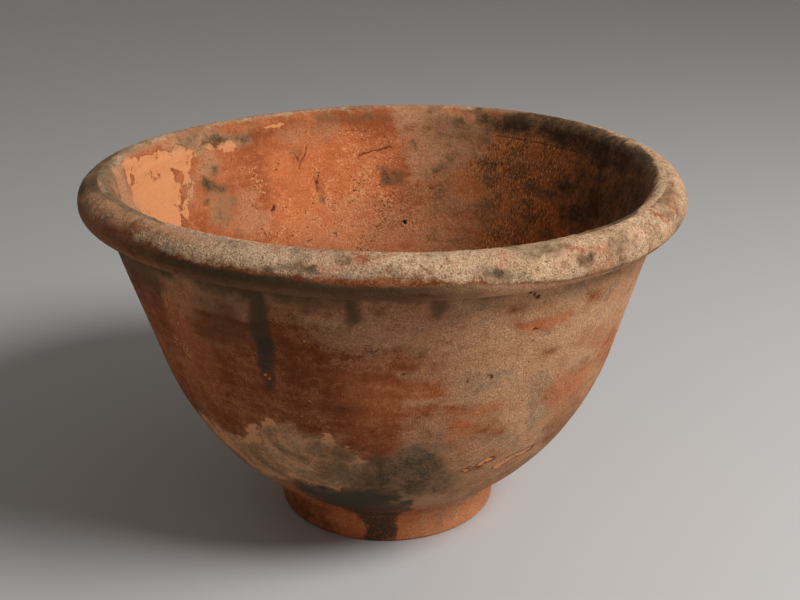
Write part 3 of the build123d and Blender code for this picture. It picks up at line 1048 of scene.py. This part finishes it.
# Small marks on the wall, brushed along a path in pixels: coat, strength, width in millimetres, path
OUTSIDE_STROKES = {
    "drip_chipped": ("soot", -0.8, 1.8, DRIP_CHIP),
    "chip_on_drip": ("bare", 0.56, 1.3, DRIP_CHIP),
    "abrasion_large_clean": ("film", -0.9, 3.4, LARGE_ABRASION),
    "abrasion_large": ("bare", 0.8, 2.8, LARGE_ABRASION),
    "abrasion_large_crumbs": ("crust", 0.4, 2.8, LARGE_ABRASION),
    "abrasion_small_clean": ("film", -0.9, 2.6, SMALL_ABRASION),
    "abrasion_small": ("bare", 0.75, 2.0, SMALL_ABRASION),
    "abrasion_high": ("crust", 0.6, 1.3, ((500, 449), (510, 441), (517, 438))),
    "ridge_at_base": ("crust", 0.6, 2.2, ((462, 489), (480, 483), (497, 474))),
    "soil_off_chip": ("film", -0.9, 2.6, LOW_CHIP),
    "chip_low": ("bare", 0.95, 1.8, LOW_CHIP),
    "pit_right": ("scar", 0.8, 1.2, ((489, 376), (492, 378))),
    "pit_middle": ("scar", 0.7, 1.2, ((468, 381), (469, 383))),
    "pit_left": ("scar", 0.7, 1.2, ((404, 375), (407, 376))),
    "pit_high": ("scar", 0.6, 1.2, ((451, 343), (452, 344))),
    "pit_far": ("scar", 0.7, 1.4, ((535, 329), (538, 330))),
    "nick_high": ("scar", 0.6, 1.2, ((493, 305), (497, 305))),
    "orange_flecks_left": ("fleck", 0.8, 6.0, ((163, 300), (170, 312), (178, 326))),
    "orange_flecks_low": ("fleck", 0.8, 6.0, ((174, 338), (186, 350))),
    "notch_under_rim": ("scar", 0.9, 1.4, ((533, 292), (539, 297))),
    "tan_streak_high": ("film", 0.5, 3.0, ((452, 376), (428, 378), (402, 375))),
    "tan_streak_low": ("film", 0.5, 3.0, ((452, 397), (430, 402), (404, 403))),
    "red_streak_low": ("film", -0.4, 3.2, ((446, 409), (470, 411), (498, 406))),
    "red_streak_lower": ("film", -0.4, 3.2, ((454, 425), (478, 429), (504, 430))),
}
INSIDE_STROKES = {
    "pit_low": ("scar", 0.8, 1.5, ((274, 207), (273, 211))),
    "pit_middle": ("scar", 0.6, 1.4, ((313, 203), (314, 205))),
    "pit_right": ("scar", 0.6, 1.5, ((305, 212), (306, 213))),
    "pit_rim": ("scar", 0.7, 1.5, ((311, 240), (309, 242))),
    "pit_ring": ("scar", 0.45, 1.5, ((340, 155), (343, 158))),
    "pit_speck": ("scar", 0.7, 1.5, ((429, 187), (432, 188))),
    "slit_low": ("scar", 0.6, 1.5, ((317, 182), (318, 191))),
    "brown_by_slit": ("grime_and_shade", 0.4, 3.0, ((318, 180), (322, 200))),
    "pale_pebble": ("bare", 0.8, 1.8, ((293, 204), (298, 205))),
    "thin_streak": ("grime_and_shade", 0.55, 1.6, ((413, 140), (416, 151))),
}

# Hairlines: strength, path in pixels
CRACKS = {
    "crack": (0.55, ((312, 113), (311, 130), (307, 145), (305, 155), (301, 161), (299, 170))),
    "crack_branch": (0.7, ((293, 151), (296, 157), (300, 162))),
    "slit": (0.9, ((319, 172), (317, 182))),
    "pit_line": (0.8, ((357, 156), (372, 151), (380, 150), (391, 146))),
    "seam_line": (0.7, ((456, 130), (495, 135), (540, 143), (577, 152))),
    "turned_line": (0.55, ((182, 267), (210, 275), (240, 281), (267, 285))),
}

# Marks on the back, along a path of bearings in degrees and heights in millimetres
BACK_STROKES = {
    "drip_back": ("soot", 0.6, 5.0, ((104, 136), (105, 118), (103, 102))),
    "drip_back_short": ("soot", 0.45, 4.5, ((58, 136), (58, 124))),
    "grime_at_neck": ("grime_and_shade", 0.55, 5.0, (
        (25, 137), (55, 137), (85, 137), (115, 137), (145, 137), (165, 137))),
    "worn_back": ("bare", 0.62, 5.0, ((136, 62), (128, 58), (119, 59))),
    "worn_back_low": ("bare", 0.6, 6.0, ((40, 42), (49, 38), (58, 40))),
    "rubbed_back": ("bright", 0.45, 18.0, ((160, 92), (134, 80), (110, 84))),
    "rubbed_back_right": ("bright", 0.4, 14.0, ((70, 104), (52, 98), (38, 102))),
    "soot_back_low": ("soot", 0.45, 9.0, ((80, 24), (96, 28), (112, 24))),
    "chip_back": ("scar", 0.7, 1.6, ((74, 88), (77, 87))),
}

# Soil and stains on the rim roll
RIM_PATCHES = {
    "cream_front": ("pale", 0.6, 14, ((420, 248), (500, 243), (500, 276), (420, 284))),
    "cream_front_left": ("pale", 0.8, 8, (
        (200, 236), (260, 243), (345, 248), (345, 259), (260, 256), (205, 250))),
    "cream_right": ("pale", 0.15, 14, (
        (500, 244), (560, 236), (620, 215), (655, 190), (670, 170), (690, 190), (680, 220), (640, 250),
        (570, 268), (500, 276))),
    "olive_left_veil": ("veil_and_shade", 0.8, 12, (
        (74, 192), (84, 178), (100, 162), (122, 158), (120, 194), (180, 222), (186, 230), (140, 222),
        (106, 208), (90, 198))),
    "olive_left": ("film", 0.98, 12, (
        (74, 195), (84, 178), (100, 162), (130, 155), (128, 196), (180, 224), (250, 240), (264, 252),
        (240, 262), (190, 250), (140, 234), (104, 222), (88, 208))),
    "olive_left_low": ("veil_and_shade", 0.3, 12, ((150, 214), (250, 240), (256, 250), (200, 246), (160, 234))),
    "olive_left_thin_crust": ("crust", -0.9, 16, (
        (80, 195), (100, 165), (130, 155), (128, 196), (180, 224), (200, 244), (110, 236))),
    "crust_low_left": ("crust", 0.62, 3, CRUST_LOW_LEFT),
    "clear_low_left": ("veil_and_shade", -0.9, 3, CRUST_LOW_LEFT),
    "brown_front_left": ("grime_and_shade", 0.55, 3, (
        (262, 267), (267, 265), (275, 267), (289, 262), (299, 261), (302, 265), (315, 264), (314, 270),
        (320, 275), (305, 275), (284, 271), (264, 271))),
    "brown_front_middle": ("grime_and_shade", 0.38, 3, (
        (329, 256), (340, 254), (352, 258), (350, 266), (338, 268), (333, 264))),
    "orange_inner_front": ("crust", -0.3, 6, ((345, 249), (400, 250), (400, 260), (360, 262))),
    "grey_inner_left": ("grime_and_shade", 0.45, 5, ((222, 238), (247, 240), (247, 248), (226, 247))),
    "dark_front_right": ("grime_and_shade", 0.4, 6, ((420, 252), (448, 249), (448, 257), (424, 259))),
    "grey_right_low": ("grime_and_shade", 0.55, 6, ((486, 268), (510, 265), (516, 276), (492, 282))),
    "grey_right": ("grime_and_shade", 0.45, 8, ((512, 248), (545, 240), (570, 242), (566, 256), (530, 262))),
    "grey_right_spot": ("grime_and_shade", 0.6, 6, ((577, 254), (592, 250), (600, 260), (584, 267))),
    "grey_far_right": ("grime_and_shade", 0.5, 8, ((606, 238), (628, 232), (640, 244), (628, 254), (612, 252))),
    "grey_right_end": ("grime_and_shade", 0.42, 9, ((650, 168), (672, 176), (682, 204), (668, 222), (654, 206))),
    "brown_right_end": ("crust", -0.3, 7, ((646, 196), (676, 188), (680, 222), (652, 232))),
    "pink_right": ("crust", -0.2, 9, ((564, 240), (600, 236), (612, 252), (604, 270), (570, 268))),
}

# Soil that the left of the lip keeps further down its inner slope
LIP_PATCHES = {
    "tan_left_lip": ("film", 0.85, 7, (
        (96, 185), (112, 166), (128, 158), (124, 176), (128, 196), (142, 208), (165, 222), (150, 226),
        (120, 212))),
    "olive_left_lip": ("veil_and_shade", 0.55, 5, (
        (96, 172), (106, 162), (114, 160), (114, 178), (119, 192), (131, 203), (147, 213), (170, 224),
        (160, 232), (130, 220), (106, 206))),
}

# Stains on the foot ring, two of which run on over the bead above it
FOOT_PATCHES = {
    "soot_front": ("soot", 0.8, 5, (
        (340, 504), (360, 500), (382, 500), (408, 503), (400, 516), (392, 522), (396, 530), (392, 541),
        (382, 538), (374, 542), (364, 536), (366, 526), (354, 518))),
    "dull_left": ("bright", -0.85, 22, ((270, 480), (318, 490), (340, 550), (270, 540))),
    "dark_left": ("veil_and_shade", 0.18, 16, ((270, 480), (306, 490), (312, 550), (270, 540))),
    "pale_right": ("film", 0.42, 18, ((405, 500), (500, 480), (500, 530), (410, 545))),
    "streak_middle": ("film", 0.6, 3, ((418, 512), (424, 511), (425, 530), (419, 531))),
    "streak_right": ("film", 0.7, 3, ((452, 502), (458, 500), (458, 520), (453, 522))),
    "streak_far": ("film", 0.65, 3, ((470, 496), (475, 494), (474, 512), (470, 514))),
    "red_streak": ("bright", -0.45, 4, ((434, 508), (444, 506), (444, 528), (436, 530))),
    "crumbs_right": ("crust", 0.75, 3, (
        (430, 504), (460, 497), (488, 485), (489, 490), (462, 502), (432, 509))),
}
BEAD_PATCHES = {name: FOOT_PATCHES[name] for name in ("soot_front", "crumbs_right")}

# Rows of the photograph below which the front of the rim hides the inside
FRONT_LIP_ROWS = (240, 270)


def paint(skin, patches, strokes=None, inside=False):
    for coat, strength, softness, outline in patches.values():
        skin.patch(coat, strength, softness, outline, inside)
    for coat, strength, width, path in (strokes or {}).values():
        skin.stroke(coat, strength, width, [skin.seen(pixel) for pixel in path])


def lay_unseen_coats(skin):
    """What the photograph hides: soil round the right and the back, and brown to the right inside."""
    across = skin.places[:, 0] / RIM_RADIUS
    to_right = smooth(across, -0.5, 0.6)
    inside = skin.hollow_side
    behind_lip = smooth(skin.pixels[:, 1], *FRONT_LIP_ROWS)
    unseen = np.maximum(1 - skin.in_view, np.where(inside, behind_lip, 0.0))
    on_floor = 1 - smooth(skin.places[:, 2], FLOOR_HEIGHT, 0.4 * RIM_HEIGHT)
    skin.coats["bright"] = np.where(inside, 0.35, 0.15 * unseen)
    skin.coats["brown"] = np.where(inside, 0.75 * unseen * to_right, 0.0)
    skin.coats["film"] = unseen * np.where(inside, 0.1 + 0.4 * on_floor, 0.2 + 0.6 * to_right)


TURNED_FORM = turned_form_tree()
WEATHERED_SKIN = weathered_skin_tree()


def make_wall():
    finish = clay_material("wall slip", bright=0.14, film=0.02)
    wall = turned_piece("bowl_wall_clay", wall_profile, WALL_STEPS, finish)
    drill_mending_hole(wall)
    skin = Skin(wall)
    lay_unseen_coats(skin)
    paint(skin, INSIDE_PATCHES, INSIDE_STROKES, inside=True)
    paint(skin, OUTSIDE_PATCHES, OUTSIDE_STROKES)
    for coat, strength, width, path in BACK_STROKES.values():
        skin.stroke(coat, strength, width, [skin.outside(bearing, height) for bearing, height in path])
    for strength, path in CRACKS.values():
        skin.crack(strength, [skin.seen(pixel) for pixel in path])
    skin.keep()
    weather(wall, finish)
    return wall


def make_rim():
    """Soil lies on the roll from lip to nose, lower at the right, above a rusty line and painted shade and
    light underneath.
    """
    finish = clay_material("rim slip", bright=0.14, film=0.02)
    rim = turned_piece("rim_roll_clay", rim_profile, RIM_STEPS, finish)
    skin = Skin(rim)
    outward = skin.places[:, :2] / np.linalg.norm(skin.places[:, :2], axis=1)[:, None]
    facing_in = -np.sum(skin.facings[:, :2] * outward, axis=1)
    facing_up = skin.facings[:, 2]
    across = skin.places[:, 0] / RIM_RADIUS
    to_right = smooth(across, 0.1, 0.6)
    to_left = smooth(-across, 0.4, 0.85)
    to_back = smooth(skin.places[:, 1] / RIM_RADIUS, 0.2, 0.7)
    lit = smooth(across, 0.0, 0.4)
    rust = smooth(across, -0.3, -0.1) * (1 - smooth(across, 0.05, 0.25))
    crust_end = 0.27 - 0.77 * to_right + 0.1 * to_left
    shade_end = crust_end - 0.16 * rust
    above = smooth(facing_up, crust_end - 0.2, crust_end + 0.2)
    beneath = 1 - smooth(facing_up, shade_end - 0.22, shade_end + 0.08)
    near_neck = smooth(-facing_up, -0.1, 0.6)
    on_top = above * (1 - smooth(facing_in, 0.25, 0.75))
    lay_unseen_coats(skin)
    skin.lay("crust", (0.8 - 0.25 * to_back) * (0.2 * above + 0.8 * on_top))
    skin.lay("film", 0.4 * to_back * on_top)
    # Painted shade: olive darkens the underside of the roll, less on the lit right, at the left end and near
    # the neck
    skin.lay("veil_and_shade", (0.95 - 0.8 * lit - 0.6 * to_left) * beneath * (1 - 0.35 * near_neck) * (facing_in < 0))
    # Painted light: tan soil colour lightens the underside, most on the lit right
    skin.lay("film", (0.2 + 0.7 * lit) * beneath * (facing_in < 0))
    paint(skin, INSIDE_PATCHES, inside=True)
    paint(skin, LIP_PATCHES, inside=True)
    paint(skin, RIM_PATCHES)
    skin.keep()
    weather(rim, finish)
    return rim


def make_foot():
    finish = clay_material("foot slip", bright=0.25, film=0.05)
    foot = turned_piece("foot_ring_clay", foot_ring_profile, FOOT_STEPS, finish)
    skin = Skin(foot)
    skin.coats["bright"][:] = 0.6
    paint(skin, FOOT_PATCHES)
    skin.keep()
    weather(foot, finish)
    return foot


def make_luting(name, profile, steps, bright, patches):
    """A bed of luting clay, with how bright its slip is outside and what else marks it there."""
    luting = turned_piece(name, profile, steps, LUTING_FINISH)
    skin = Skin(luting)
    lay_unseen_coats(skin)
    skin.lay("bright", bright * ~skin.hollow_side)
    paint(skin, INSIDE_PATCHES, inside=True)
    paint(skin, OUTSIDE_PATCHES)
    paint(skin, patches)
    skin.keep()
    weather(luting, LUTING_FINISH)
    return luting


LUTING_FINISH = clay_material("luting clay", bright=0.14, film=0.02)
PIECES = (
    (make_wall(), "bowl_wall", "wall_slip"),
    (make_rim(), "rim_roll", "rim_slip"),
    (make_luting("rim_luting_seam", rim_luting_profile, RIM_LUTING_STEPS, 0.0, {}),
     "rim_luting", "luting_clay"),
    (make_foot(), "foot_ring", "foot_slip"),
    (make_luting("foot_luting_bead", foot_luting_profile, FOOT_LUTING_STEPS, 0.4, BEAD_PATCHES),
     "foot_luting", "luting_clay"),
)
for piece, node, slot in PIECES:
    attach(piece, "root")
    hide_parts(node)


# Floor, light and camera
FLOOR_SIZE = 30.0
FLOOR_COLOUR = (0.55, 0.54, 0.53, 1.0)
FLOOR_ROUGHNESS = 0.8
ROOM_COLOUR = (1.0, 0.95, 0.88, 1.0)
ROOM_STRENGTH = 0.16
BACKDROP_COLOUR = (0.62, 0.61, 0.60, 1.0)
KEY_PLACE = Vector((0.77, -0.45, 0.95))
KEY_TARGET = Vector((0.0, 0.0, 0.1))
KEY_SIZE = 0.5
KEY_POWER = 15.0
CLIP_START = 0.01


def make_floor():
    bpy.ops.mesh.primitive_plane_add(size=FLOOR_SIZE)
    floor = bpy.context.object
    floor.name = "floor"
    material = bpy.data.materials.new("pale floor")
    material.use_nodes = True
    shader = material.node_tree.nodes["Principled BSDF"]
    shader.inputs["Base Color"].default_value = FLOOR_COLOUR
    shader.inputs["Roughness"].default_value = FLOOR_ROUGHNESS
    floor.data.materials.append(material)


def make_key_lamp():
    lamp = bpy.data.lights.new("key", "AREA")
    lamp.shape = "DISK"
    lamp.size = KEY_SIZE
    lamp.energy = KEY_POWER
    holder = bpy.data.objects.new("key", lamp)
    holder.location = KEY_PLACE
    holder.rotation_euler = (KEY_TARGET - KEY_PLACE).to_track_quat("-Z", "Y").to_euler()
    bpy.context.scene.collection.objects.link(holder)


def make_world():
    """A dim warm room that lights the bowl, and a plain backdrop that only the camera and reflections see."""
    world = bpy.data.worlds.new("studio")
    world.use_nodes = True
    bpy.context.scene.world = world
    light = world.node_tree.nodes["Background"]
    light.inputs["Color"].default_value = ROOM_COLOUR
    light.inputs["Strength"].default_value = ROOM_STRENGTH
    sheet = NodeSheet(world.node_tree)
    backdrop = sheet.out("ShaderNodeBackground", {"Color": BACKDROP_COLOUR, "Strength": 1.0})
    path = sheet.node("ShaderNodeLightPath").outputs
    seen = sheet.math("MAXIMUM", path["Is Camera Ray"], path["Is Glossy Ray"])
    shown = sheet.ordered("ShaderNodeMixShader", seen, light.outputs[0], backdrop)
    sheet.feed(world.node_tree.nodes["World Output"].inputs["Surface"], shown)


def make_camera():
    camera = bpy.data.cameras.new("camera")
    camera.sensor_fit = "HORIZONTAL"
    camera.sensor_width = SENSOR_WIDTH_MM
    camera.lens = FOCAL_PIXELS * SENSOR_WIDTH_MM / PHOTO_WIDTH
    camera.clip_start = CLIP_START
    holder = bpy.data.objects.new("camera", camera)
    holder.location = CAMERA_PLACE
    holder.rotation_euler = CAMERA_TURN.to_euler()
    bpy.context.scene.collection.objects.link(holder)
    bpy.context.scene.camera = holder


make_floor()
make_world()
make_key_lamp()
make_camera()
bpy.context.scene.view_settings.view_transform = "Standard"
